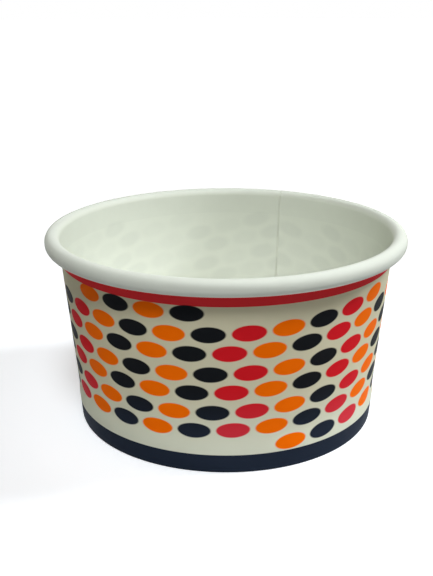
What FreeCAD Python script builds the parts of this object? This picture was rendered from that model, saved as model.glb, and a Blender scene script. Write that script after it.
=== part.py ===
import FreeCAD, Part
import math
import os
import Sketcher
from FreeCAD import Placement, Rotation, Vector

# Paper dessert cup, in millimetres. +Z is up, and the origin is the middle of the ring it stands on.
#
# The real cup is two pieces of coated paperboard. A fan-shaped blank is wrapped into a cone with
# its side edges lapped and sealed, its top edge is rolled outwards into the rim bead, and its
# bottom edge is folded in and up as a hem. A round base with a turned-down skirt is gripped
# between the wall and that hem. Each piece is drawn as one folded line, the face of the board
# that ends up inside the cup, and the line is given the thickness of the board.

doc = FreeCAD.newDocument("dessert_cup")

# Driving dimensions
SIZES = [
    ("rim_diameter", 95.0, "over the rolled rim"),
    ("cup_height", 51.0, "from the table to the top of the rim"),
    ("foot_diameter", 80.2, "over the wall at the foot"),
    ("wall_board", 0.40, "thickness of the wall's board"),
    ("base_board", 0.36, "thickness of the base's board"),
    ("bead_width", 3.9, "rolled rim, from the inner face of the wall outwards"),
    ("bead_height", 4.1, "rolled rim, from its top to its underside"),
    ("roll_gap", 0.05, "between two turns of the rolled rim"),
    ("base_height", 6.3, "upper face of the base above the table"),
    ("base_bend", 0.9, "outer radius where the base turns down into its skirt"),
    ("hem_height", 5.0, "cut edge of the hem above the table"),
    ("seal_film", 0.02, "melted coating between two sealed faces"),
    ("skirt_gap", 0.15, "between the skirt's cut edge and the fold under it"),
    ("foot_swell", 0.35, "how far pressing the foot pushes the wall out round the skirt"),
    ("swell_length", 3.3, "height over which the wall comes back in above the pressed foot"),
    ("swell_margin", 0.3, "pressed height above the base"),
    ("foot_press", 0.06, "flattening of the fold that the cup stands on"),
    ("lap_width", 7.0, "board on board at the side seam, half way up"),
    ("climb_width", 1.6, "where the outer flap climbs onto the inner one"),
    ("seam_turn", 67.2, "degrees from +X to the inner flap's cut edge"),
]
sheet = doc.addObject("Spreadsheet::Sheet", "sizes")
for row, (alias, value, meaning) in enumerate(SIZES, start=1):
    sheet.set("A%d" % row, alias)
    sheet.set("B%d" % row, str(value))
    sheet.setAlias("B%d" % row, alias)
    sheet.set("C%d" % row, meaning)
doc.recompute()
size = {alias: float(sheet.get(alias)) for alias, value, meaning in SIZES}

# Each bend is drawn as flats on its true arc, so that the mesh stays light
TOP_FLAT_COUNT = 6
UNDER_FLAT_COUNT = 3
ROLL_FLAT_COUNT = 1
FOLD_FLAT_COUNT = 3
BEND_FLAT_COUNT = 2

# Shares of the wall's board, used where one layer is laid on another. The second layer is drawn
# from inside the first, so that the two fuse, and where it has climbed down it ends inside it.
LAYER_FROM = 0.4
LAYER_TO = 2.0
CLIMB_END = 0.9
GROOVE_DEPTH = 0.75
CUTTER_DEPTH = 0.3
CUTTER_CLEAR = 0.05


# Where the folded line runs. These start each sketch close to its answer, and the constraints,
# which are bound to the sheet, hold it there.
def fold_radius():
    """Inner radius of the foot's fold, which takes the base's skirt between two films."""
    return size["base_board"] / 2 + size["seal_film"]


def fold_centre(rise=0.0):
    """Centre of the foot's fold; a second layer of board raises it."""
    across = size["foot_diameter"] / 2 - size["wall_board"] - fold_radius()
    up = fold_radius() + size["wall_board"] - size["foot_press"] + rise
    return Vector(across, up, 0)


def bead_centre():
    """Centre of the upper half of the rolled rim."""
    radius = size["bead_width"] / 2
    return Vector(size["rim_diameter"] / 2 - radius, size["cup_height"] - radius, 0)


def wall_lean(rise=0.0):
    """Angle of the wall from upright: it touches the fold's circle and the bead's circle."""
    span = bead_centre() - fold_centre(rise)
    reach = fold_radius() - size["foot_swell"] + size["bead_width"] / 2
    return math.acos(reach / span.Length) - math.atan2(span.y, span.x)


FOLD_UP = "sizes.base_board / 2 + sizes.seal_film + sizes.wall_board - sizes.foot_press"
FOLD_ACROSS = "sizes.foot_diameter / 2 - sizes.wall_board - sizes.base_board / 2 - sizes.seal_film"
LOW_ROLL = "(sizes.bead_width - sizes.wall_board - sizes.roll_gap) / 2"


def upright(turn=0.0):
    """Placement of a sketch that stands on the axis, turned about it by some degrees."""
    return Placement(Vector(0, 0, 0), Rotation(Vector(0, 0, 1), turn) * Rotation(Vector(1, 0, 0), 90))


# Numbers of the points of a sketch's element, and of the sketch's own axes and origin
START, END, CENTRE = range(1, 4)
AXES = {"across": -1, "up": -2}
ORIGIN = (AXES["across"], START)


def arc(centre, radius, first, last):
    """Arc of a circle, anticlockwise between two angles in radians."""
    return Part.ArcOfCircle(Part.Circle(centre, Vector(0, 0, 1), radius), first, last)


def flats(sketch, arc_index, count):
    """Draws a bend as a chain of equal flats whose corners lie on its arc; returns their numbers."""
    curve = sketch.Geometry[arc_index]
    step = (curve.LastParameter - curve.FirstParameter) / count
    corners = [curve.value(curve.FirstParameter + n * step) for n in range(count + 1)]
    chain = [sketch.addGeometry(Part.LineSegment(corners[n], corners[n + 1])) for n in range(count)]
    sketch.toggleConstruction(arc_index)
    sketch.addConstraint(Sketcher.Constraint("Coincident", chain[0], START, arc_index, START))
    sketch.addConstraint(Sketcher.Constraint("Coincident", chain[-1], END, arc_index, END))
    for before, after in zip(chain, chain[1:]):
        sketch.addConstraint(Sketcher.Constraint("Coincident", before, END, after, START))
        sketch.addConstraint(Sketcher.Constraint("PointOnObject", after, START, arc_index))
        sketch.addConstraint(Sketcher.Constraint("Equal", before, after))
    return chain


def bind(sketch, name, expression, *where):
    """Adds a dimension to a sketch and binds it to the sheet."""
    index = sketch.addConstraint(Sketcher.Constraint(*where))
    sketch.renameConstraint(index, name)
    sketch.setExpression("Constraints." + name, expression)


def measure(sketch, name, *where):
    """Adds a dimension that only reports what the other constraints give."""
    index = sketch.addConstraint(Sketcher.Constraint(*where))
    sketch.setDriving(index, False)
    sketch.renameConstraint(index, name)


def folded_line(name, lift, raised, curled, turn=0.0):
    """The blank's folded line from the hem's cut edge to the rim.

    lift moves it outwards through the board, in boards; raised lifts the fold by one board,
    for the second layer at the seam; curled goes on into the rolled rim.
    """
    out = lift * size["wall_board"]
    rise = size["wall_board"] if raised else 0.0
    lean = wall_lean(rise)
    along = Vector(math.sin(lean), math.cos(lean), 0)
    across = Vector(math.cos(lean), -math.sin(lean), 0)
    fold = fold_centre(rise)
    bead = bead_centre()
    bead_radius = size["bead_width"] / 2
    low_radius = (size["bead_width"] - size["wall_board"] - size["roll_gap"]) / 2
    roll_radius = bead_radius - size["wall_board"] - size["roll_gap"]
    fold_line = fold_radius() + out

    hem_foot = fold - across * fold_line
    hem_edge = hem_foot + along * ((size["hem_height"] - hem_foot.y) / along.y)
    wall_foot = fold + across * fold_line
    swell_top = size["base_height"] + size["swell_margin"]
    swell_start = wall_foot + along * ((swell_top - wall_foot.y) / along.y)
    wall_start = wall_foot - across * size["foot_swell"]
    swell_end = wall_start + along * ((swell_top + size["swell_length"] - wall_start.y) / along.y)
    wall_top = bead - across * (bead_radius - out)

    sketch = doc.addObject("Sketcher::SketchObject", name)
    sketch.Placement = upright(turn)
    hem = sketch.addGeometry(Part.LineSegment(hem_edge, hem_foot))
    foot = sketch.addGeometry(arc(fold, fold_line, math.pi - lean, 2 * math.pi - lean))
    pressed = sketch.addGeometry(Part.LineSegment(wall_foot, swell_start))
    lead_in = sketch.addGeometry(Part.LineSegment(swell_start, swell_end))
    wall = sketch.addGeometry(Part.LineSegment(swell_end, wall_top))
    top = sketch.addGeometry(arc(bead, bead_radius - out, 0, math.pi - lean), not curled)

    # The bends leave the straight stretches along their own direction
    sketch.addConstraint(Sketcher.Constraint("Tangent", hem, END, foot, START))
    sketch.addConstraint(Sketcher.Constraint("Tangent", foot, END, pressed, START))
    sketch.addConstraint(Sketcher.Constraint("Coincident", pressed, END, lead_in, START))
    sketch.addConstraint(Sketcher.Constraint("Coincident", lead_in, END, wall, START))
    sketch.addConstraint(Sketcher.Constraint("Tangent", wall, END, top, END))
    sketch.addConstraint(Sketcher.Constraint("Parallel", hem, wall))
    sketch.addConstraint(Sketcher.Constraint("Parallel", pressed, wall))

    lifted = " + %g * sizes.wall_board" % lift
    lowered = " - %g * sizes.wall_board" % lift
    lifted_fold = " + sizes.wall_board" if raised else ""
    bind(sketch, "fold_radius", "sizes.base_board / 2 + sizes.seal_film" + lifted,
         "Radius", foot, fold_line)
    bind(sketch, "fold_across", FOLD_ACROSS, "DistanceX", *ORIGIN, foot, CENTRE, fold.x)
    bind(sketch, "fold_up", FOLD_UP + lifted_fold, "DistanceY", *ORIGIN, foot, CENTRE, fold.y)
    bind(sketch, "hem_up", "sizes.hem_height", "DistanceY", *ORIGIN, hem, START, hem_edge.y)
    bind(sketch, "swell_up", "sizes.base_height + sizes.swell_margin",
         "DistanceY", *ORIGIN, pressed, END, swell_start.y)
    bind(sketch, "swell", "sizes.foot_swell", "Distance", pressed, END, wall, size["foot_swell"])
    bind(sketch, "wall_from", "sizes.base_height + sizes.swell_margin + sizes.swell_length",
         "DistanceY", *ORIGIN, wall, START, swell_end.y)
    bind(sketch, "bead_radius", "sizes.bead_width / 2" + lowered,
         "Radius", top, bead_radius - out)
    bind(sketch, "bead_across", "(sizes.rim_diameter - sizes.bead_width) / 2",
         "DistanceX", *ORIGIN, top, CENTRE, bead.x)
    bind(sketch, "bead_up", "sizes.cup_height - sizes.bead_width / 2",
         "DistanceY", *ORIGIN, top, CENTRE, bead.y)
    flats(sketch, foot, FOLD_FLAT_COUNT)
    if not curled:
        sketch.addConstraint(Sketcher.Constraint("Horizontal", top, START, top, CENTRE))
        return sketch
    flats(sketch, top, TOP_FLAT_COUNT)

    # The rim goes over the top, down its flank, back under and up inside itself
    low_up = size["cup_height"] - size["bead_height"] + low_radius
    outside = size["rim_diameter"] / 2
    under = Vector(outside - low_radius, low_up, 0)
    inside = Vector(under.x - low_radius + roll_radius, low_up, 0)
    flank = sketch.addGeometry(Part.LineSegment(Vector(outside, bead.y, 0), Vector(outside, low_up, 0)))
    below = sketch.addGeometry(arc(under, low_radius, math.pi, 2 * math.pi))
    roll = sketch.addGeometry(arc(inside, roll_radius, math.pi / 2, math.pi))
    sketch.addConstraint(Sketcher.Constraint("Tangent", top, START, flank, START))
    sketch.addConstraint(Sketcher.Constraint("Vertical", flank))
    sketch.addConstraint(Sketcher.Constraint("Tangent", flank, END, below, END))
    sketch.addConstraint(Sketcher.Constraint("Tangent", below, START, roll, END))
    sketch.addConstraint(Sketcher.Constraint("Horizontal", below, START, below, CENTRE))
    sketch.addConstraint(Sketcher.Constraint("Vertical", roll, START, roll, CENTRE))
    bind(sketch, "low_radius", LOW_ROLL, "Radius", below, low_radius)
    bind(sketch, "low_up", "sizes.cup_height - sizes.bead_height + " + LOW_ROLL,
         "DistanceY", *ORIGIN, below, CENTRE, low_up)
    bind(sketch, "roll_radius", "sizes.bead_width / 2 - sizes.wall_board - sizes.roll_gap",
         "Radius", roll, roll_radius)

    flats(sketch, below, UNDER_FLAT_COUNT)
    flats(sketch, roll, ROLL_FLAT_COUNT)

    # What the other sketches take from this one
    measure(sketch, "lean", "Angle", wall, START, AXES["up"], START, lean)
    measure(sketch, "wall_across", "DistanceX", *ORIGIN, wall, START, swell_end.x)
    measure(sketch, "wall_up", "DistanceY", *ORIGIN, wall, START, swell_end.y)
    return sketch


def board(name, line, thickness):
    """Gives a folded line its thickness, on the side that faces out of the cup."""
    band = doc.addObject("Part::Offset2D", name)
    band.Source = line
    band.Mode = "Skin"
    band.Join = "Tangent"
    band.Fill = True
    band.setExpression("Value", "-(" + thickness + ")")
    return band


def turned(name, section, angle, clockwise=False):
    """Turns a section about the cup's axis."""
    solid = doc.addObject("Part::Revolution", name)
    solid.Source = section
    solid.Axis = Vector(0, 0, -1 if clockwise else 1)
    solid.Solid = True
    solid.setExpression("Angle", angle)
    return solid


def bridged(name, first, second):
    """Solid with straight sides from one section to the next."""
    solid = doc.addObject("Part::Loft", name)
    solid.Sections = [first, second]
    solid.Solid = True
    solid.Ruled = True
    return solid


# Angles that the seam's widths take up, at half the cup's height
MID_RADIUS = "((sizes.rim_diameter / 2 - sizes.bead_width + sizes.foot_diameter / 2) / 2)"
LAP_ANGLE = "sizes.lap_width / " + MID_RADIUS + " * 180 / pi"
mid_radius = (size["rim_diameter"] / 2 - size["bead_width"] + size["foot_diameter"] / 2) / 2
climb_angle = math.degrees(size["climb_width"] / mid_radius)
CLIMB_TURN = "sizes.climb_width / " + MID_RADIUS + " * 180 / pi"


def stand_at_climb(sketch):
    """Turns a sketch to where the outer flap has come down to the wall."""
    sketch.setExpression("Placement.Rotation.Yaw", CLIMB_TURN)
    sketch.setExpression("Placement.Rotation.Pitch", "0")
    sketch.setExpression("Placement.Rotation.Roll", "90")


# The wall: one layer all the way round, from the hem's cut edge to the end of the roll
wall_line = folded_line("wall_line", 0, False, True)
wall_section = board("wall_section", wall_line, "sizes.wall_board")
one_layer = turned("one_layer", wall_section, "360")

# The side seam: the outer flap lies on the inner one, down round the fold and up the hem, and
# it climbs onto it just beyond the inner flap's cut edge
lap_line = folded_line("lap_line", LAYER_FROM, True, False)
lap_section = board("lap_section", lap_line, "%g * sizes.wall_board" % (LAYER_TO - LAYER_FROM))
lap = turned("lap", lap_section, LAP_ANGLE, clockwise=True)
climb_line = folded_line("climb_line", LAYER_FROM, False, False, climb_angle)
stand_at_climb(climb_line)
climb_section = board("climb_section", climb_line, "%g * sizes.wall_board" % (CLIMB_END - LAYER_FROM))
climb = bridged("climb", lap_section, climb_section)


def groove_section(name, depth, turn=0.0):
    """Cutter for the groove inside, beside the inner flap's cut edge, from the base to the rim."""
    lean = wall_lean()
    along = Vector(math.sin(lean), math.cos(lean), 0)
    foot = Vector(wall_line.getDatum("wall_across").Value, wall_line.getDatum("wall_up").Value, 0)
    tall = size["cup_height"] - size["bead_width"] / 2 - foot.y
    face = CUTTER_DEPTH * size["wall_board"]
    near = foot - Vector(face, 0, 0)
    far = foot + Vector(depth * size["wall_board"], 0, 0)
    rise = along * (tall / along.y)
    corners = [near, near + rise, far + rise, far]
    sketch = doc.addObject("Sketcher::SketchObject", name)
    sketch.Placement = upright(turn)
    sides = [sketch.addGeometry(Part.LineSegment(corners[n], corners[(n + 1) % 4])) for n in range(4)]
    for n in range(4):
        sketch.addConstraint(Sketcher.Constraint("Coincident", sides[n], END, sides[(n + 1) % 4], START))
    sketch.addConstraint(Sketcher.Constraint("Horizontal", sides[1]))
    sketch.addConstraint(Sketcher.Constraint("Horizontal", sides[3]))
    sketch.addConstraint(Sketcher.Constraint("Parallel", sides[0], sides[2]))
    bind(sketch, "lean", "wall_line.Constraints.lean",
         "Angle", sides[0], START, AXES["up"], START, lean)
    from_face = "wall_line.Constraints.wall_across %+g mm * sizes.wall_board"
    bind(sketch, "near_across", from_face % -CUTTER_DEPTH, "DistanceX", *ORIGIN, sides[0], START, near.x)
    bind(sketch, "far_across", from_face % depth, "DistanceX", *ORIGIN, sides[2], END, far.x)
    bind(sketch, "foot_up", "wall_line.Constraints.wall_up",
         "DistanceY", *ORIGIN, sides[0], START, foot.y)
    bind(sketch, "top_up", "sizes.cup_height - sizes.bead_width / 2",
         "DistanceY", *ORIGIN, sides[0], END, foot.y + tall)
    return sketch


doc.recompute()
groove_edge = groove_section("groove_edge", GROOVE_DEPTH)
groove_end = groove_section("groove_end", -CUTTER_CLEAR, climb_angle)
stand_at_climb(groove_end)
groove = bridged("groove", groove_edge, groove_end)

flap = doc.addObject("Part::MultiFuse", "flap")
flap.Shapes = [lap, climb]
layers = doc.addObject("Part::MultiFuse", "layers")
layers.Shapes = [one_layer, flap]
grooved = doc.addObject("Part::Cut", "grooved")
grooved.Base = layers
grooved.Tool = groove

# The table irons the fold flat where the cup stands on it
table = doc.addObject("Part::Cylinder", "table")
table.setExpression("Radius", "sizes.rim_diameter / 2")
table.setExpression("Height", "sizes.foot_press * 2")
table.setExpression("Placement.Base.z", "-sizes.foot_press * 2")
side_wall = doc.addObject("Part::Cut", "side_wall")
side_wall.Base = grooved
side_wall.Tool = table
side_wall.Label = "side_wall"
side_wall.setExpression("Placement.Rotation.Angle", "sizes.seam_turn")


def base_line(name):
    """The base's folded line: out from the axis, round the bend and down the skirt."""
    lean = wall_lean()
    along = Vector(math.sin(lean), math.cos(lean), 0)
    across = Vector(math.cos(lean), -math.sin(lean), 0)
    fold = fold_centre()
    bend = size["base_bend"]
    top = size["base_height"]
    edge_up = 1.5 * size["wall_board"] + size["skirt_gap"]
    skirt = fold + across * (size["base_board"] / 2)
    edge = skirt + along * ((edge_up - skirt.y) / along.y)
    centre_up = top - bend
    centre = skirt - across * bend
    centre = centre + along * ((centre_up - centre.y) / along.y)
    skirt_top = centre + across * bend
    sketch = doc.addObject("Sketcher::SketchObject", name)
    sketch.Placement = upright()
    disc = sketch.addGeometry(Part.LineSegment(Vector(0, top, 0), Vector(centre.x, top, 0)))
    turn = sketch.addGeometry(arc(centre, bend, -lean, math.pi / 2))
    skirt_side = sketch.addGeometry(Part.LineSegment(skirt_top, edge))
    gripped = sketch.addGeometry(Part.Point(fold))
    sketch.toggleConstruction(gripped)
    sketch.addConstraint(Sketcher.Constraint("PointOnObject", disc, START, AXES["up"]))
    sketch.addConstraint(Sketcher.Constraint("Horizontal", disc))
    sketch.addConstraint(Sketcher.Constraint("Tangent", disc, END, turn, END))
    sketch.addConstraint(Sketcher.Constraint("Tangent", turn, START, skirt_side, START))
    bind(sketch, "top_up", "sizes.base_height", "DistanceY", *ORIGIN, disc, START, top)
    bind(sketch, "bend", "sizes.base_bend", "Radius", turn, bend)
    bind(sketch, "fold_across", FOLD_ACROSS, "DistanceX", *ORIGIN, gripped, START, fold.x)
    bind(sketch, "fold_up", FOLD_UP, "DistanceY", *ORIGIN, gripped, START, fold.y)
    bind(sketch, "grip", "sizes.base_board / 2",
         "Distance", gripped, START, skirt_side, size["base_board"] / 2)
    bind(sketch, "lean", "wall_line.Constraints.lean",
         "Angle", skirt_side, END, AXES["up"], START, lean)
    bind(sketch, "edge_up", "1.5 * sizes.wall_board + sizes.skirt_gap",
         "DistanceY", *ORIGIN, skirt_side, END, edge_up)
    flats(sketch, turn, BEND_FLAT_COUNT)
    return sketch


# The base: a round disc whose skirt hangs down into the hem
skirt_section = board("skirt_section", base_line("base_line"), "sizes.base_board")
base_disc = turned("base_disc", skirt_section, "360")
base_disc.Label = "base_disc"

doc.recompute()
for item in doc.Objects:
    if "Invalid" in item.State or "Error" in item.State:
        raise RuntimeError("%s failed to build: %s" % (item.Label, item.State))

os.makedirs("parts", exist_ok=True)
for piece in (side_wall, base_disc):
    shape = piece.Shape
    if shape.isNull() or not shape.isValid():
        raise RuntimeError("%s has no valid shape" % piece.Label)
    shape.exportStep("parts/" + piece.Label + ".step")
    print(piece.Label, len(shape.Solids), "solid,", round(shape.Volume, 1), "cubic mm,", shape.BoundBox)
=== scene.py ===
# %% [markdown]
# # A paper dessert cup
#
# The cup is made of two pieces of coated paperboard. A fan-shaped blank is printed, wrapped into a
# cone, lapped and sealed at its side seam, rolled outwards at its top edge and folded in at its
# foot. A round base with a turned-down skirt is gripped by that fold. The solid model of both
# pieces is loaded first, and everything below is built in its frame, in metres.

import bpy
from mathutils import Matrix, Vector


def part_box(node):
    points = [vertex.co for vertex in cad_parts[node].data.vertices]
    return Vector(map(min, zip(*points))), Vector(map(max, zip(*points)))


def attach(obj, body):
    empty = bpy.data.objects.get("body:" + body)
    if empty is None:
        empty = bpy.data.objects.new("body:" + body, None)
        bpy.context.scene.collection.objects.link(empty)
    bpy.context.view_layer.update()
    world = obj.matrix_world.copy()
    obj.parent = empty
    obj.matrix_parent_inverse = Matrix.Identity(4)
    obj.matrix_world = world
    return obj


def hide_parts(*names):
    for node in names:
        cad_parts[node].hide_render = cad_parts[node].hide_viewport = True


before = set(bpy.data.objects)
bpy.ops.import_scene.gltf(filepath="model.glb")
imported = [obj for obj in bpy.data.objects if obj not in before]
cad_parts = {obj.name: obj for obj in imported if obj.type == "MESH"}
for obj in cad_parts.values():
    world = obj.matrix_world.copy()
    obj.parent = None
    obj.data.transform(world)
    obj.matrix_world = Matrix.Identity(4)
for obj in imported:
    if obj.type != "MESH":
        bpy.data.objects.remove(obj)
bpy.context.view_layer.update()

# %% Tools, and the heights that the solids give
from math import atan, cos, pi, radians, sin, tan

import bpy
import numpy as np
from mathutils import Matrix, Vector

MM = 0.001
CUP_HIGH = float(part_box("side_wall")[1][2])
BASE_UP = float(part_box("base_disc")[1][2])
print("cup %.1f mm high, base at %.1f mm" % (CUP_HIGH / MM, BASE_UP / MM))

# %% [markdown]
# ## The camera
#
# The cup is seen from close by, and from a little above its rim. A camera can be placed by eye, or
# by numbers once the same points of rim and foot are known in the picture and in the model. These
# numbers come from such a fit, so the cup fills the frame as it should. The picture is 433 by 576,
# so the sensor's width belongs to its long, upright side.

# %% Place the camera
PICTURE_HIGH = 576
FOCAL_PIXELS = 883.0
SENSOR = 36.0
CAMERA_PLACE = (0.0, -0.22698, 0.11100)
PITCH, YAW, ROLL = 0.3293, -0.0110, -0.0034

lens = bpy.data.cameras.new("camera")
lens.sensor_width = SENSOR
lens.lens = FOCAL_PIXELS * SENSOR / PICTURE_HIGH
camera = bpy.data.objects.new("camera", lens)
aim = (Matrix.Rotation(-YAW, 4, "Z") @ Matrix.Rotation(pi / 2 - PITCH, 4, "X")
       @ Matrix.Rotation(ROLL, 4, "Z"))
camera.matrix_world = Matrix.Translation(CAMERA_PLACE) @ aim
bpy.context.scene.collection.objects.link(camera)
bpy.context.scene.camera = camera
print("lens of %.1f mm" % lens.lens)

# %% [markdown]
# ## The folded line of the wall
#
# Cut the cup through its axis and the wall shows as one line. It starts at the cut edge of the hem,
# runs down, turns round the fold that the cup stands on, goes up the wall, over the rim, down its
# flank and back under, and ends inside the roll. Each stretch is either straight or part of a
# circle, so it could be drawn as a curve and bevelled. A function is better here, because the same
# line is needed for both faces of the board and for both layers at the side seam: a face is the
# line lifted by one board, and the outer layer is the line lifted by two.

# %% Write down the board's sizes
WALL_BOARD = 0.40 * MM
BASE_BOARD = 0.36 * MM
FILM = 0.02 * MM
RIM_RADIUS = 47.49 * MM
BEAD_RADIUS = 1.95 * MM
BEAD_CENTRE = (RIM_RADIUS - BEAD_RADIUS, CUP_HIGH - BEAD_RADIUS)
BEAD_UNDER = CUP_HIGH - 4.1 * MM
LOW_RADIUS = 1.725 * MM
LOW_SQUEEZE = 0.225 * MM
ROLL_RADIUS = 1.5 * MM
FOLD_RADIUS = 0.2 * MM
FOLD_CENTRE = (39.5 * MM, 0.54 * MM)
HEM_UP = 5.0 * MM
SWELL = 0.35 * MM
SWELL_UP = 6.6 * MM
WALL_FROM = 9.9 * MM
NECK_FROM = 47.0 * MM
LEAN = radians(5.0)
print("board %.2f mm, bead %.1f mm across" % (WALL_BOARD / MM, 2 * BEAD_RADIUS / MM))


# %% Straight stretches and bends
def run(first, last, count):
    """Points first + (last - first) * t, with t running evenly from 0 up to but not including 1."""
    t = np.arange(count)[:, None] / count
    return [a + (b - a) * t for a, b in zip(first, last)]


def bend(centre, radius, first, last, count):
    """Points centre + radius * (cos a, sin a), with a running evenly from first towards last."""
    a = first + (last - first) * np.arange(count)[:, None] / count
    return [centre[0] + radius * np.cos(a), centre[1] + radius * np.sin(a)]


def joined(parts):
    """The parts of a line end to end, as one grid of across and one of up."""
    return [np.vstack([np.atleast_2d(part[k]) for part in parts]) for k in (0, 1)]


quarter = joined([bend((0.0, 0.0), 1.0, 0.0, pi / 2, 4), (0.0, 1.0)])
print("a quarter turn of four steps has", len(quarter[0]), "points")


# %% Points beside and along a leaning line
def moved(point, outwards):
    """The point plus outwards * (cos LEAN, -sin LEAN), which is square to the leaning wall."""
    return point[0] + outwards * cos(LEAN), point[1] - outwards * sin(LEAN)


def stood_on(point, up):
    """The leaning line through a point, at a height: across + (up - own height) * tan LEAN."""
    return point[0] + (up - point[1]) * tan(LEAN), up + 0 * point[0]


STRETCHES = {"hem": 5, "fold": 10, "foot": 4, "lead_in": 4, "wall": 20, "neck": 5,
             "over": 18, "flank": 2, "under": 14, "roll": 8}
print(sum(STRETCHES.values()) + 1, "points along the folded line")


# %% The folded line itself
def folded_line(lift, rolled_lift, doubled):
    """The line from the hem's cut edge to the end of the roll, as (across, up) grids.

    lift is how many boards it lies out from the face that ends up inside the cup, and rolled_lift
    is the same in the rim. doubled is 1 where two layers share the fold and the roll, and 0 where
    there is one. All are rows, one entry for each station round the cup. The fold's radius is its
    own radius plus the lift, and the radii in the rim are theirs less the lift.
    """
    out, rolled_out = lift * WALL_BOARD, rolled_lift * WALL_BOARD
    fold = (FOLD_CENTRE[0] + 0 * out, FOLD_CENTRE[1] + doubled * WALL_BOARD)
    fold_radius = FOLD_RADIUS + out
    hem_foot, foot = moved(fold, -fold_radius), moved(fold, fold_radius)
    wall_top = moved(BEAD_CENTRE, out - BEAD_RADIUS)
    foot_top = stood_on(moved(wall_top, SWELL), SWELL_UP)
    wall_start = stood_on(wall_top, WALL_FROM)
    neck = stood_on(wall_top, NECK_FROM)
    rim_start = moved(BEAD_CENTRE, rolled_out - BEAD_RADIUS)
    flank = (RIM_RADIUS - rolled_out, BEAD_CENTRE[1] + 0 * out)
    low_radius = LOW_RADIUS - LOW_SQUEEZE * doubled
    low = (RIM_RADIUS - low_radius, BEAD_UNDER + low_radius)
    under_radius = low_radius - rolled_out
    roll_radius = ROLL_RADIUS - WALL_BOARD * doubled - rolled_out
    roll = (low[0] - under_radius + roll_radius, low[1])
    across, up = joined([
        run(stood_on(hem_foot, HEM_UP), hem_foot, STRETCHES["hem"]),
        bend(fold, fold_radius, pi - LEAN, 2 * pi - LEAN, STRETCHES["fold"]),
        run(foot, foot_top, STRETCHES["foot"]),
        run(foot_top, wall_start, STRETCHES["lead_in"]),
        run(wall_start, neck, STRETCHES["wall"]),
        run(neck, rim_start, STRETCHES["neck"]),
        bend(BEAD_CENTRE, BEAD_RADIUS - rolled_out, pi - LEAN, 0.0, STRETCHES["over"]),
        run(flank, (flank[0], low[1]), STRETCHES["flank"]),
        bend(low, under_radius, 0.0, -pi, STRETCHES["under"]),
        bend(roll, roll_radius, pi, pi / 2, STRETCHES["roll"]),
        (roll[0], roll[1] + roll_radius),
    ])
    return across, np.maximum(up, 0.0)


single = np.zeros((1, 1))
line_across, line_up = folded_line(single, single, single)
print("rim line reaches %.2f mm, top %.2f mm" % (line_across.max() / MM, line_up.max() / MM))

# %% [markdown]
# ## Where each station of the sheet lies
#
# The blank is one sheet, a little longer than once round. The first stretch of it is the outer
# flap: it rides one board higher, and past the inner flap's cut edge it climbs down to the wall's
# own line. That leaves the upright groove that is seen inside every such cup. A boolean union of
# two tubes would lose the sheet's own ends, so the sheet is kept whole and only its lift changes.
# The rolled rim climbs down over a shorter stretch, because it is pressed harder.


# %% Stations round the cup
def steps(first, last, count):
    """count even steps, from first up to but not including last."""
    return np.linspace(first, last, count, endpoint=False)


def eased(x):
    """0 below 0, 1 above 1, and x * x * (3 - 2 * x) between them."""
    x = np.clip(x, 0.0, 1.0)
    return x * x * (3 - 2 * x)


SEAM_END = radians(157.2)
LAP = radians(9.58)
CLIMB = radians(0.9)
ROLLED_CLIMB = radians(0.35)
SETTLE = radians(2.2)
ROUND_STEPS = {"flap": 8, "rim_climb": 4, "climb": 7, "single": 299, "settle": 6, "lap": 9}
lap_first = SEAM_END - LAP
sheet_first = lap_first - 2 * pi
climb_first = sheet_first + LAP
stations = np.concatenate([
    steps(sheet_first, climb_first, ROUND_STEPS["flap"]),
    steps(climb_first, climb_first + ROLLED_CLIMB, ROUND_STEPS["rim_climb"]),
    steps(climb_first + ROLLED_CLIMB, climb_first + CLIMB, ROUND_STEPS["climb"]),
    steps(climb_first + CLIMB, lap_first - SETTLE, ROUND_STEPS["single"]),
    steps(lap_first - SETTLE, lap_first, ROUND_STEPS["settle"]),
    np.linspace(lap_first, SEAM_END, ROUND_STEPS["lap"]),
])
print(len(stations), "stations, %.1f degrees of sheet" % np.degrees(stations[-1] - stations[0]))

# %% How high each station rides
FLAP_LIFT = 1 + FILM / WALL_BOARD
still_up = 1 - eased((stations - climb_first) / CLIMB)
rolled_still_up = 1 - eased((stations - climb_first) / ROLLED_CLIMB)
lift = FLAP_LIFT * still_up[None, :]
rolled_lift = FLAP_LIFT * rolled_still_up[None, :]
settled = eased((stations - (lap_first - SETTLE)) / SETTLE)
doubled = np.maximum(still_up, settled)[None, :]
print("the flap rides %.2f boards high" % lift.max())

# %% [markdown]
# ## Flat places on the blank
#
# A printer works on the flat blank, so the pattern has to be laid out there too. A cone unrolls
# into a fan: a point at distance rho from the cone's tip, at an angle t round the cup, lands at the
# angle t times the sine of the cone's half angle. The cup could also be painted by angle and
# height, but the columns would then spread wrongly. The flat places go into the sheet's UV map, and
# the print follows them, and so the seam, the fold and the roll too.

# %% Unroll the cone
PRINT_MIDDLE = -0.4767
SIDE_SLOPE = 0.08746
TOP_RADIUS = 44.164 * MM
FAN_HIGH = 51.0 * MM
HALF_ANGLE = atan(SIDE_SLOPE)
FAN_RADIUS = TOP_RADIUS / sin(HALF_ANGLE)


def blank_places(middle_across, middle_up, angles):
    """Flat places (x, y) on the blank: x = rho * sin b, y = rho * cos b - fan radius."""
    step = np.hypot(np.diff(middle_across, axis=0), np.diff(middle_up, axis=0))
    length = np.vstack([np.zeros((1, step.shape[1])), np.cumsum(step, axis=0)])
    start = sum(STRETCHES[name] for name in ("hem", "fold", "foot", "lead_in"))
    rho = FAN_RADIUS - (FAN_HIGH - WALL_FROM) / cos(HALF_ANGLE) + length - length[start]
    b = (angles - PRINT_MIDDLE) * sin(HALF_ANGLE)
    return rho * np.sin(b), rho * np.cos(b) - FAN_RADIUS


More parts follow.
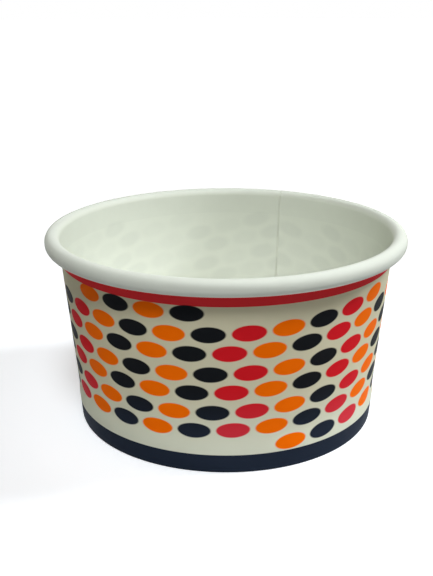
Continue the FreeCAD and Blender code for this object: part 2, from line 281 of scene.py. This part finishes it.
print("fan radius %.0f mm" % (FAN_RADIUS / MM))

# %% [markdown]
# ## From two faces to one closed sheet
#
# The face inside and the face outside are two grids with the same rows and columns. Strips of faces
# along all four sides close them into one solid sheet with real cut edges. The Solidify modifier
# could do it too, but it would not know about the fold that the table has ironed flat. Each grid
# keeps its own material: coated inside, printed outside, raw board on the cuts.

# %% Faces of a grid, and a mesh of them
INSIDE, OUTSIDE, CUT_EDGES = 0, 1, 2
SHARP = radians(50)


def grid_faces(index, flip):
    """Four-cornered faces of a grid of vertex numbers, wound one way or the other."""
    a, b, c, d = index[:-1, :-1], index[1:, :-1], index[1:, 1:], index[:-1, 1:]
    quads = np.stack([a, d, c, b] if flip else [a, b, c, d], axis=-1)
    return quads.reshape(-1, 4)


def make_mesh(name, points, groups, places=None):
    """Mesh from points and groups of faces, each group with its material slot before it.

    places gives every point its flat place on the blank, for the UV map.
    """
    slots = np.repeat([slot for slot, _ in groups], [len(faces) for _, faces in groups])
    mesh = bpy.data.meshes.new(name)
    mesh.from_pydata(points, [], sum((faces.tolist() for _, faces in groups), []))
    mesh.polygons.foreach_set("material_index", slots)
    mesh.polygons.foreach_set("use_smooth", np.ones(len(slots), dtype=bool))
    if places is not None:
        corners = np.concatenate([faces.ravel() for _, faces in groups])
        layer = mesh.uv_layers.new(name="blank")
        layer.uv.foreach_set("vector", places[corners].astype(np.float32).ravel())
    mesh.set_sharp_from_angle(angle=SHARP)
    mesh.update()
    assert not mesh.validate()
    piece = bpy.data.objects.new(name, mesh)
    bpy.context.scene.collection.objects.link(piece)
    return piece


print("a grid of 2 by 3 points gives", len(grid_faces(np.arange(6).reshape(2, 3), False)), "faces")


# %% Measure what a mesh holds
def enclosed(piece):
    """Volume that the faces enclose, in cubic millimetres; it is negative if they point inwards.

    It is the sum of a . (b x c) / 6 over the triangles, with corners a, b and c.
    """
    mesh = piece.data
    mesh.calc_loop_triangles()
    corners = np.empty(3 * len(mesh.loop_triangles), dtype=np.int32)
    mesh.loop_triangles.foreach_get("vertices", corners)
    points = np.empty(3 * len(mesh.vertices))
    mesh.vertices.foreach_get("co", points)
    a, b, c = points.reshape(-1, 3)[corners.reshape(-1, 3)].transpose(1, 0, 2)
    return float(np.einsum("ij,ij->i", a, np.cross(b, c)).sum() / 6 / MM ** 3)


def round_the_axis(across, up, angles):
    """Points (across * sin t, -across * cos t, up), so that t = 0 faces the camera."""
    return np.stack([across * np.sin(angles), -across * np.cos(angles), up + 0 * angles], axis=-1)


print("t = 0 lies at", round_the_axis(1.0, 0.0, np.zeros(1))[0].tolist())

# %% Make the wall
inner = folded_line(lift, rolled_lift, doubled)
outer = folded_line(lift + 1, rolled_lift + 1, doubled)
middle = [(a + b) / 2 for a, b in zip(inner, outer)]
flat = np.stack(blank_places(*middle, stations), axis=-1).reshape(-1, 2)
both = [round_the_axis(*face, stations).reshape(-1, 3) for face in (inner, outer)]
near = np.arange(inner[0].size).reshape(inner[0].shape)
far = near + near.size
cuts = np.vstack([
    grid_faces(np.stack([near[0], far[0]]), True),
    grid_faces(np.stack([near[-1], far[-1]]), False),
    grid_faces(np.stack([near[:, 0], far[:, 0]]), False),
    grid_faces(np.stack([near[:, -1], far[:, -1]]), True),
])
wall_groups = [(INSIDE, grid_faces(near, False)), (OUTSIDE, grid_faces(far, True)),
               (CUT_EDGES, cuts)]
wall = make_mesh("cup_wall", np.vstack(both), wall_groups, np.tile(flat, (2, 1)))
print("wall of", len(wall.data.polygons), "faces, %.0f cubic mm" % enclosed(wall))

# %% [markdown]
# ## The base
#
# The base is punched as a disc, a little wider than the foot, and pressed so that its edge turns
# down into a skirt. Its section is again one line, from the axis out, round the bend and down, and
# the underside is the same line one board lower. Turned about the axis this gives a closed shell.
# The Screw modifier could turn it, but it would leave a ring of points at the axis. Here the middle
# of each face is a single point with triangles round it, so there is no hole or pinch.

# %% The base's line
BASE_BEND = 0.9 * MM
SKIRT_FOOT = 0.95 * MM
BASE_STRETCHES = {"level": 26, "bend": 10, "skirt": 6}


def base_line(drop):
    """Level to the bend, a bend of its own radius less the drop, then the leaning skirt."""
    centre = stood_on(moved(FOLD_CENTRE, BASE_BOARD / 2 - BASE_BEND), BASE_UP - BASE_BEND)
    radius = BASE_BEND - drop
    level = centre[1] + radius
    skirt_top = moved(centre, radius)
    skirt_foot = stood_on(skirt_top, SKIRT_FOOT)
    return joined([
        run((0.0, level), (centre[0], level), BASE_STRETCHES["level"]),
        bend(centre, radius, pi / 2, -LEAN, BASE_STRETCHES["bend"]),
        run(skirt_top, skirt_foot, BASE_STRETCHES["skirt"]),
        skirt_foot,
    ])


print("base reaches %.2f mm out" % (base_line(0.0)[0].max() / MM))

# %% Turn both faces of the base and close them
BASE_TURNS = 240
turns = steps(0.0, 2 * pi, BASE_TURNS)
base_points, base_groups, skirt_edges = [], [], []
tip = 0
for slot, drop, flip in ((INSIDE, 0.0, False), (OUTSIDE, BASE_BOARD, True)):
    across, up = base_line(drop)
    rings = round_the_axis(across[1:], up[1:], turns)
    index = tip + 1 + np.arange(rings[..., 0].size).reshape(rings.shape[:2])
    index = np.hstack([index, index[:, :1]])
    first, last = index[0, :-1], index[0, 1:]
    tips = np.full_like(first, tip)
    fan = np.stack([tips, last, first] if flip else [tips, first, last], axis=-1)
    base_points += [np.array([[0.0, 0.0, up[0, 0]]]), rings.reshape(-1, 3)]
    base_groups += [(slot, fan), (slot, grid_faces(index, flip))]
    skirt_edges.append(index[-1])
    tip += 1 + rings[..., 0].size
base_groups.append((CUT_EDGES, grid_faces(np.stack(skirt_edges), False)))
base = make_mesh("cup_base", np.vstack(base_points), base_groups)
print("base of", len(base.data.polygons), "faces, %.0f cubic mm" % enclosed(base))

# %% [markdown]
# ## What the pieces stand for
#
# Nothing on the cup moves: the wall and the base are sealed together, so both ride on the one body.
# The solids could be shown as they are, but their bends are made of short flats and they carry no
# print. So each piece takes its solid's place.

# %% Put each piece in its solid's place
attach(wall, "root")
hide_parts("side_wall")
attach(base, "root")
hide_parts("base_disc")
print("pieces:", wall.name, base.name)

# %% [markdown]
# ## A way to write shader maths
#
# A material is a graph of nodes, and a formula such as "one minus the mask" needs a node for each
# step. Placing them one by one hides the formula. The first class below wraps a node's output, so
# that plain Python signs add the Math nodes, and the formulas can be read as formulas. The second
# one adds every other kind of node.


# %% Numbers that are still nodes
class Value:
    """A number on its way through a shader; + - * / > < add a Math node each."""

    def __init__(self, nodes, socket):
        self.nodes = nodes
        self.socket = socket

    def math(self, operation, *others):
        """One Math node: this value first, then the others."""
        return self.nodes.node("ShaderNodeMath", {"operation": operation},
                               dict(enumerate((self, *others))))

    def __add__(self, other):
        return self.math("ADD", other)

    __radd__ = __add__

    def __sub__(self, other):
        return self.math("SUBTRACT", other)

    def __rsub__(self, other):
        return self.nodes.node("ShaderNodeMath", {"operation": "SUBTRACT"}, {0: other, 1: self})

    def __mul__(self, other):
        return self.math("MULTIPLY", other)

    __rmul__ = __mul__

    def __truediv__(self, other):
        return self.math("DIVIDE", other)

    def __gt__(self, other):
        return self.math("GREATER_THAN", other)

    def __lt__(self, other):
        return self.math("LESS_THAN", other)

    def root(self):
        """The square root."""
        return self.math("SQRT")

    def nearest_whole(self):
        """The nearest whole number."""
        return self.math("ROUND")


print("Value:", Value.__doc__)


# %% Every other node
class Nodes:
    """A tree of nodes, and the ways to add to it."""

    def __init__(self, tree):
        self.tree = tree

    def feed(self, node, inputs):
        """Link each socket to a Value, or set it to a plain number or colour."""
        for key, value in inputs.items():
            if isinstance(value, Value):
                self.tree.links.new(value.socket, node.inputs[key])
            else:
                node.inputs[key].default_value = value

    def node(self, kind, settings, inputs, output=0):
        """Any node: its settings come first, then what feeds its sockets. Gives one output."""
        made = self.tree.nodes.new(kind)
        for key, value in settings.items():
            setattr(made, key, value)
        self.feed(made, inputs)
        return Value(self, made.outputs[output])

    def blend(self, mask, under, over):
        """Colour over where the mask is 1 and under where it is 0."""
        return self.node("ShaderNodeMix", {"data_type": "RGBA"}, {0: mask, 6: under, 7: over}, 2)

    def noise(self, where, scale, detail=2.0):
        """Soft noise from 0 to 1, scale waves to a metre."""
        return self.node("ShaderNodeTexNoise", {},
                         {"Vector": where, "Scale": scale, "Detail": detail})

    def ramp(self, value, low, high):
        """0 where the value is under low, 1 over high, eased between them."""
        return self.node("ShaderNodeMapRange", {"interpolation_type": "SMOOTHSTEP"},
                         {0: value, 1: low, 2: high, 3: 0.0, 4: 1.0})


print("Nodes:", Nodes.__doc__)


# %% A material and its colours
class Finish(Nodes):
    """One material and its shader."""

    def __init__(self, name):
        self.material = bpy.data.materials.new(name)
        self.material.use_nodes = True
        super().__init__(self.material.node_tree)
        self.shader = self.tree.nodes["Principled BSDF"]

    def object_place(self):
        """Place on the object itself, in metres."""
        return self.node("ShaderNodeTexCoord", {}, {}, 3)


def srgb(red, green, blue):
    """Colour for a shader from the three numbers, 0 to 255, that a screen shows.

    With c from 0 to 1, it is ((c + 0.055) / 1.055) to the power 2.4, and c / 12.92 near black.
    """
    c = np.array([red, green, blue]) / 255
    return (*np.where(c < 0.04045, c / 12.92, ((c + 0.055) / 1.055) ** 2.4), 1.0)


print("half way on the screen is %.3f of the light" % srgb(128, 128, 128)[0])

# %% [markdown]
# ## The print
#
# The outside carries a band of red under the rim, a band of dark blue at the foot, and rows of
# ovals between them. An image could be painted and wrapped on, but formulas stay sharp at any
# distance. On the flat blank the ovals are level and stand in straight columns. Two equal lattices,
# one shifted by half a cell, make the staggered rows. An oval is left out where it would touch a
# band, and the upper limit slopes a little, as if the art were trimmed slightly askew. Because the
# columns stay upright on a fan, the rows seem to climb at both ends of the blank, which is what
# gives the real cup its sweep.
#
# A column of one lattice and its neighbour in the other share a colour, and the colour changes from
# pair to pair. The same art comes back after thirteen pairs, and twice in it a colour is skipped.

# %% The print's sizes on the blank
COLUMN = 4.679 * MM
FIRST_COLUMN = 11.817 * MM
ROW = 10.2 * MM
FIRST_ROWS = (-9.24 * MM, -14.55 * MM)
OVAL = (4.05 * MM, 2.03 * MM)
OVAL_HEIGHTS = (7.2 * MM, 42.2 * MM)
TRIM_SLOPE = 0.0062
RED_BAND = (43.78 * MM, 49.3 * MM)
NAVY_BAND_TO = 5.02 * MM
BAND_EDGE = 0.06 * MM
INKS = 3.0
PAIRS_IN_ART = 13.0
SKIPS_AFTER = (6.5, 11.5)
print("ovals of %.1f by %.1f mm" % tuple(2 * v / MM for v in OVAL))


# %% One lattice of ovals
def cup_height_of(rho):
    """Height on the standing cup, at rho from the fan's tip: high + (rho - radius) * cos."""
    return FAN_HIGH + (rho - FAN_RADIUS) * cos(HALF_ANGLE)


def oval_lattice(finish, x, y, shift, first_row, soft):
    """Mask of one lattice's ovals, and the number of each oval's pair of columns.

    The edge lies where the root of (dx / half width) squared + (dy / half height) squared is 1,
    and soft is how far the ink fades on each side of it.
    """
    pair = ((x - FIRST_COLUMN - shift) / (2 * COLUMN)).nearest_whole()
    row = ((y - first_row) / ROW).nearest_whole()
    centre_x = pair * (2 * COLUMN) + (FIRST_COLUMN + shift)
    centre_y = row * ROW + first_row
    away_x = (x - centre_x) / OVAL[0]
    away_y = (y - centre_y) / OVAL[1]
    edge = (away_x * away_x + away_y * away_y).root()
    tip_y = centre_y + FAN_RADIUS
    height = cup_height_of((centre_x * centre_x + tip_y * tip_y).root())
    kept = (height > OVAL_HEIGHTS[0]) * (height + centre_x * TRIM_SLOPE < OVAL_HEIGHTS[1])
    return (1 - finish.ramp(edge, 1 - soft, 1 + soft)) * kept, pair


print("the art repeats every %.0f mm" % (PAIRS_IN_ART * 2 * COLUMN / MM))


# %% The whole print
def print_masks(finish, soft):
    """Masks of the three inks, navy, red and orange, and the height on the standing cup.

    A pair's turn is its place in the art plus the skips before it, modulo 3: 0 is navy, 1 is red
    and 2 is orange.
    """
    place = finish.node("ShaderNodeUVMap", {"uv_map": "blank"}, {})
    x = finish.node("ShaderNodeSeparateXYZ", {}, {0: place}, 0)
    y = finish.node("ShaderNodeSeparateXYZ", {}, {0: place}, 1)
    navy, red, orange = 0.0, 0.0, 0.0
    for shift, first_row in zip((0.0, COLUMN), FIRST_ROWS):
        oval, pair = oval_lattice(finish, x, y, shift, first_row, soft)
        place_in_art = pair.math("FLOORED_MODULO", PAIRS_IN_ART)
        skips = (place_in_art > SKIPS_AFTER[0]) + (place_in_art > SKIPS_AFTER[1])
        turn = (place_in_art + skips).math("FLOORED_MODULO", INKS)
        navy = oval * (turn < 0.5) + navy
        red = oval * (turn > 0.5) * (turn < 1.5) + red
        orange = oval * (turn > 1.5) + orange
    tip_y = y + FAN_RADIUS
    height = cup_height_of((x * x + tip_y * tip_y).root())
    navy_band = 1 - finish.ramp(height, NAVY_BAND_TO - BAND_EDGE, NAVY_BAND_TO + BAND_EDGE)
    red_band = (finish.ramp(height, RED_BAND[0] - BAND_EDGE, RED_BAND[0] + BAND_EDGE)
                * (height < RED_BAND[1]))
    return navy + navy_band, red + red_band, orange, height


print("print masks:", print_masks.__doc__.splitlines()[0])

# %% [markdown]
# ## The printed outside
#
# Paperboard is pressed fibre, so even under ink it has a fine uneven surface and a faint
# cloudiness. One flat colour would look like plastic. Noise at about half a millimetre gives the
# fibre, and a slower one the cloudiness. A thin varnish over the ink makes it satin. Towards the
# foot the paper and the inks are painted paler and cooler: painted light and a painted reflection
# from the floor below. The solid red band under the rim is painted lighter than the red of the
# ovals: painted light that lifts the shade under the bead. So the colours change with height.


# %% A satin surface
FIBRE_DETAIL = 3.0
SLOWER = 6
SLOW_DEEP = 3.0
ROUGH_SWING = 0.12


def satin(finish, colour, where, rough, gloss, fibre_scale, fibre_deep):
    """Finishes the shader: colour, a slightly uneven roughness, and fibre as a bump.

    Roughness is rough + swing * (slow noise - 0.5). The bump is fibre noise + deep * slow noise.
    """
    fibre = finish.noise(where, fibre_scale, FIBRE_DETAIL)
    slow = finish.noise(where, fibre_scale / SLOWER)
    finish.feed(finish.shader, {
        "Base Color": colour,
        "Specular IOR Level": gloss,
        "Roughness": rough + ROUGH_SWING * (slow - 0.5),
        "Normal": finish.node("ShaderNodeBump", {}, {
            "Strength": 1.0, "Distance": fibre_deep, "Height": fibre + SLOW_DEEP * slow}),
    })


VARNISHED = {"rough": 0.55, "gloss": 0.02, "fibre_scale": 1800.0, "fibre_deep": 0.004 * MM}
print("fibre about %.2f mm across" % (1 / VARNISHED["fibre_scale"] / MM))

# %% Paper and inks outside
CLOUDS = 260.0
CRISP = 0.07
# the heights over which the painted floor light and reflection fade out above the foot, and the
# painted lift against the bead's shade comes in under the rim
PAINTED_FLOOR_LIGHT_HEIGHTS = (5 * MM, 24 * MM)
PAINTED_BAND_LIFT_HEIGHTS = (41.5 * MM, 43.5 * MM)
IVORY = srgb(216, 210, 182), srgb(212, 206, 176)
# the paper at the foot: painted light and a painted cool reflection from the floor below
PAINTED_FLOOR_LIGHT_IVORY = srgb(221, 223, 203), srgb(217, 219, 198)
# the navy at the foot is bluer: a painted reflection of the floor
NAVY, NAVY_WITH_PAINTED_REFLECTION = srgb(22, 24, 27), srgb(33, 41, 55)
# the red at the foot is paler: a painted reflection of the floor; the red in the band is lighter:
# painted light lifting the shade under the bead
RED, RED_WITH_PAINTED_REFLECTION, RED_PAINTED_LIGHTER_IN_BEAD_SHADE = srgb(215, 28, 38), srgb(211, 56, 68), srgb(226, 52, 58)
ORANGE = srgb(253, 111, 0)

printed = Finish("printed_board")
where = printed.object_place()
navy, red, orange, height = print_masks(printed, CRISP)
# 1 at the foot, where the painted floor light and reflection are laid on
foot = 1 - printed.ramp(height, *PAINTED_FLOOR_LIGHT_HEIGHTS)
# 1 in the red band, where the red is painted lighter against the bead's shade
painted_band_lift = printed.ramp(height, *PAINTED_BAND_LIFT_HEIGHTS)
cloud = printed.noise(where, CLOUDS)
paper = printed.blend(foot, printed.blend(cloud, *IVORY), printed.blend(cloud, *PAINTED_FLOOR_LIGHT_IVORY))
navy_ink = printed.blend(foot, NAVY, NAVY_WITH_PAINTED_REFLECTION)
red_ink = printed.blend(foot, printed.blend(painted_band_lift, RED, RED_PAINTED_LIGHTER_IN_BEAD_SHADE), RED_WITH_PAINTED_REFLECTION)
inked = printed.blend(orange, paper, ORANGE)
inked = printed.blend(navy, printed.blend(red, inked, red_ink), navy_ink)
satin(printed, inked, where, **VARNISHED)
print(len(printed.tree.nodes), "nodes in the print")

# %% [markdown]
# ## The coated inside
#
# The food side has a thin film of plastic, a little glossier than the varnish. The board is thin
# enough for the dark inks on the other side to show through as grey. That could be left to light
# passing through the board, but it would be slow and hard to steer. So the same masks are used
# again with soft edges, at a few percent of strength. Deep inside the cup the lining is painted
# paler, as painted bounce light from the base, and on the bead it is painted darker, as painted
# shade, so its colour changes with height as well.

# %% Coated inside
BLURRED = 0.35
# the heights over which the painted bounce light fades out deep inside, and the painted shade comes
# in on the bead
PAINTED_BOUNCE_HEIGHTS = (24 * MM, 47 * MM)
PAINTED_BEAD_SHADE_HEIGHTS = (49.5 * MM, 51.5 * MM)
NAVY_THROUGH, RED_THROUGH, ORANGE_THROUGH = 0.08, 0.035, 0.04
LINING = srgb(225, 229, 217), srgb(221, 225, 213)
# deep inside, the lining is painted paler: painted bounce light from the base
LINING_WITH_PAINTED_BOUNCE = srgb(235, 238, 227), srgb(231, 234, 223)
# on the bead, the lining is painted darker: painted shade
LINING_WITH_PAINTED_BEAD_SHADE = srgb(216, 220, 210), srgb(212, 216, 206)
THROUGH = srgb(120, 128, 130)
FILMED = {"rough": 0.5, "gloss": 0.08, "fibre_scale": 1100.0, "fibre_deep": 0.004 * MM}

coated = Finish("coated_board")
where = coated.object_place()
navy, red, orange, height = print_masks(coated, BLURRED)
ghost = navy * NAVY_THROUGH + red * RED_THROUGH + orange * ORANGE_THROUGH
cloud = coated.noise(where, CLOUDS)
# 1 low in the cup, where the painted bounce light is laid on
deep = 1 - coated.ramp(height, *PAINTED_BOUNCE_HEIGHTS)
shades = [coated.blend(deep, high, low) for high, low in zip(LINING, LINING_WITH_PAINTED_BOUNCE)]
# the bead's share is painted shade
lining = coated.blend(coated.ramp(height, *PAINTED_BEAD_SHADE_HEIGHTS), coated.blend(cloud, *shades),
                      coated.blend(cloud, *LINING_WITH_PAINTED_BEAD_SHADE))
satin(coated, coated.blend(ghost, lining, THROUGH), where, **FILMED)
print(len(coated.tree.nodes), "nodes in the lining")

# %% [markdown]
# ## Raw cuts
#
# Where the die cuts the board, bare matt fibre shows, in thin layers of lighter and darker pulp.
# The cuts are less than half a millimetre wide, so modelled fibres would be lost. Fine noise in
# the colour and a stronger bump do it. The wall and the base share this finish.

# %% Raw cuts
LAYERS = 4000.0
PULP = srgb(214, 208, 190), srgb(236, 232, 218)
TORN = {"rough": 0.85, "gloss": 0.5, "fibre_scale": 3000.0, "fibre_deep": 0.02 * MM}

cut = Finish("cut_edge")
where = cut.object_place()
satin(cut, cut.blend(cut.noise(where, LAYERS), *PULP), where, **TORN)
print(len(cut.tree.nodes), "nodes in the cuts")

# %% [markdown]
# ## The underside of the base
#
# The side of the base that faces the table isn't coated, because no food touches it. It is bare
# board, duller and more mottled than the printed side. It could share the finish of the cuts, but
# a pressed face is smoother than a cut one, so its bump is finer.

# %% Underside of the base
MOTTLE, MOTTLE_DETAIL = 700.0, 4.0
BARE = srgb(213, 212, 196), srgb(222, 221, 207)
PRESSED = {"rough": 0.7, "gloss": 0.5, "fibre_scale": 1500.0, "fibre_deep": 0.008 * MM}

under = Finish("base_underside")
where = under.object_place()
satin(under, under.blend(under.noise(where, MOTTLE, MOTTLE_DETAIL), *BARE), where, **PRESSED)
print(len(under.tree.nodes), "nodes in the underside")

# %% [markdown]
# ## The inside of the base
#
# The base has the same film as the wall, but no print on its other side, so nothing shows through.
# The wall's material would look for a print that isn't there, so the base gets its own. It is a
# little darker than the wall's, so that it doesn't burn out when it is seen from above.

# %% Base inside
BASE_LINING = srgb(208, 211, 201), srgb(204, 207, 197)

base_coat = Finish("base_coating")
where = base_coat.object_place()
satin(base_coat, base_coat.blend(base_coat.noise(where, CLOUDS), *BASE_LINING), where, **FILMED)
print(len(base_coat.tree.nodes), "nodes in the base's lining")

# %% Give the finishes to the pieces
for piece, finishes in ((wall, (coated, printed, cut)), (base, (base_coat, under, cut))):
    for finish in finishes:
        piece.data.materials.append(finish.material)
    print(piece.name, [m.name for m in piece.data.materials])

# %% [markdown]
# ## Floor and background
#
# The cup stands on a plain pale floor. A white background could be made by pouring light on the
# floor, but the cup would burn out too. So it comes from what is seen alone: the world is white to
# rays from the camera and to those that gloss or glass sends on, and to the same rays the floor
# adds a glow. It is weaker in the pool that the lamps light, so the cup's shadow stays.


# %% Floor
def seen(nodes):
    """1 for rays from the camera and for those that gloss or glass sends on, 0 for all others."""
    camera_ray, glossy_ray, glass_ray = [
        nodes.node("ShaderNodeLightPath", {}, {}, name)
        for name in ("Is Camera Ray", "Is Glossy Ray", "Is Transmission Ray")]
    return camera_ray.math("MAXIMUM", glossy_ray).math("MAXIMUM", glass_ray)


BLACK, WHITE = (0.0, 0.0, 0.0, 1.0), (1.0, 1.0, 1.0, 1.0)
FLOOR_HALF = 3.0
FLOOR_COLOUR = (0.82, 0.85, 0.90, 1.0)
FLOOR_ROUGH = 0.9
FLOOR_GLOW = (0.45, 0.45, 0.45, 1.0)
LIT_POOL = (0.06, 0.20)
corners = FLOOR_HALF * np.array([(-1, -1, 0), (1, -1, 0), (1, 1, 0), (-1, 1, 0)])
floor_mesh = bpy.data.meshes.new("floor")
floor_mesh.from_pydata(corners, [], [(0, 1, 2, 3)])
floor = bpy.data.objects.new("floor", floor_mesh)
bpy.context.scene.collection.objects.link(floor)
print("floor of %.0f m" % (2 * FLOOR_HALF))

# %% The floor's finish
sheet = Finish("floor_paper")
where = sheet.object_place()
away = sheet.node("ShaderNodeVectorMath", {"operation": "LENGTH"}, {0: where}, 1)
glow = sheet.blend(sheet.ramp(away, *LIT_POOL), FLOOR_GLOW, WHITE)
sheet.feed(sheet.shader, {
    "Base Color": FLOOR_COLOUR,
    "Roughness": FLOOR_ROUGH,
    "Emission Color": sheet.blend(seen(sheet), BLACK, glow),
    "Emission Strength": 1.0,
})
floor.data.materials.append(sheet.material)
print(len(sheet.tree.nodes), "nodes in the floor")

# %% World
SKY_COLOUR = (1.0, 0.92, 0.72, 1.0)
SKY_STRENGTH = 0.118

world = bpy.data.worlds.new("studio")
world.use_nodes = True
bpy.context.scene.world = world
sky = Nodes(world.node_tree)
plain = sky.tree.nodes["Background"]
sky.feed(plain, {"Color": SKY_COLOUR, "Strength": SKY_STRENGTH})
white = sky.node("ShaderNodeBackground", {}, {"Color": WHITE})
choice = sky.node("ShaderNodeMixShader", {},
                  {0: seen(sky), 1: Value(sky, plain.outputs[0]), 2: white})
sky.feed(sky.tree.nodes["World Output"], {"Surface": choice})
print("world at %.3f" % SKY_STRENGTH)

# %% [markdown]
# ## The lamps
#
# The cup is lit as in a plain studio. A strong lamp from the right brightens the left half of the
# inside and leaves the right half in shade. One in front, higher up, lights the printed wall and
# gives the soft shade under the rim. A weak one overhead reaches down to the base. Sun lamps would
# cast hard shadows, so these are square areas, each turned towards the cup.


# %% Lamps
LAMP_COLOUR = (0.95, 0.98, 1.0)


def lamp(name, place, target, wide, power, spread):
    """A square soft lamp that faces a target; a small spread keeps its light in a pool."""
    data = bpy.data.lights.new(name, "AREA")
    data.size = wide
    data.energy = power
    data.spread = spread
    data.color = LAMP_COLOUR
    facing = (Vector(target) - Vector(place)).to_track_quat("-Z", "Y").to_matrix().to_4x4()
    holder = bpy.data.objects.new(name, data)
    holder.matrix_world = Matrix.Translation(place) @ facing
    bpy.context.scene.collection.objects.link(holder)


# name, place, target, width in metres, power in watts, spread in radians
LAMPS = (
    ("overhead", (0.0, 0.0, 0.5), (0.0, 0.0, 0.0), 0.06, 0.0012, 0.28),
    ("side", (0.4, 0.05, 0.4), (0.0, 0.0, 0.02), 0.16, 0.0905, 0.5),
    ("front", (0.0, -0.3, 0.5), (0.0, 0.0, 0.02), 0.16, 0.079, 0.5),
)
for settings in LAMPS:
    lamp(*settings)
bpy.context.scene.view_settings.view_transform = "Standard"
print("lamps:", [light.name for light in bpy.data.lights])

# %% [markdown]
# ## The end
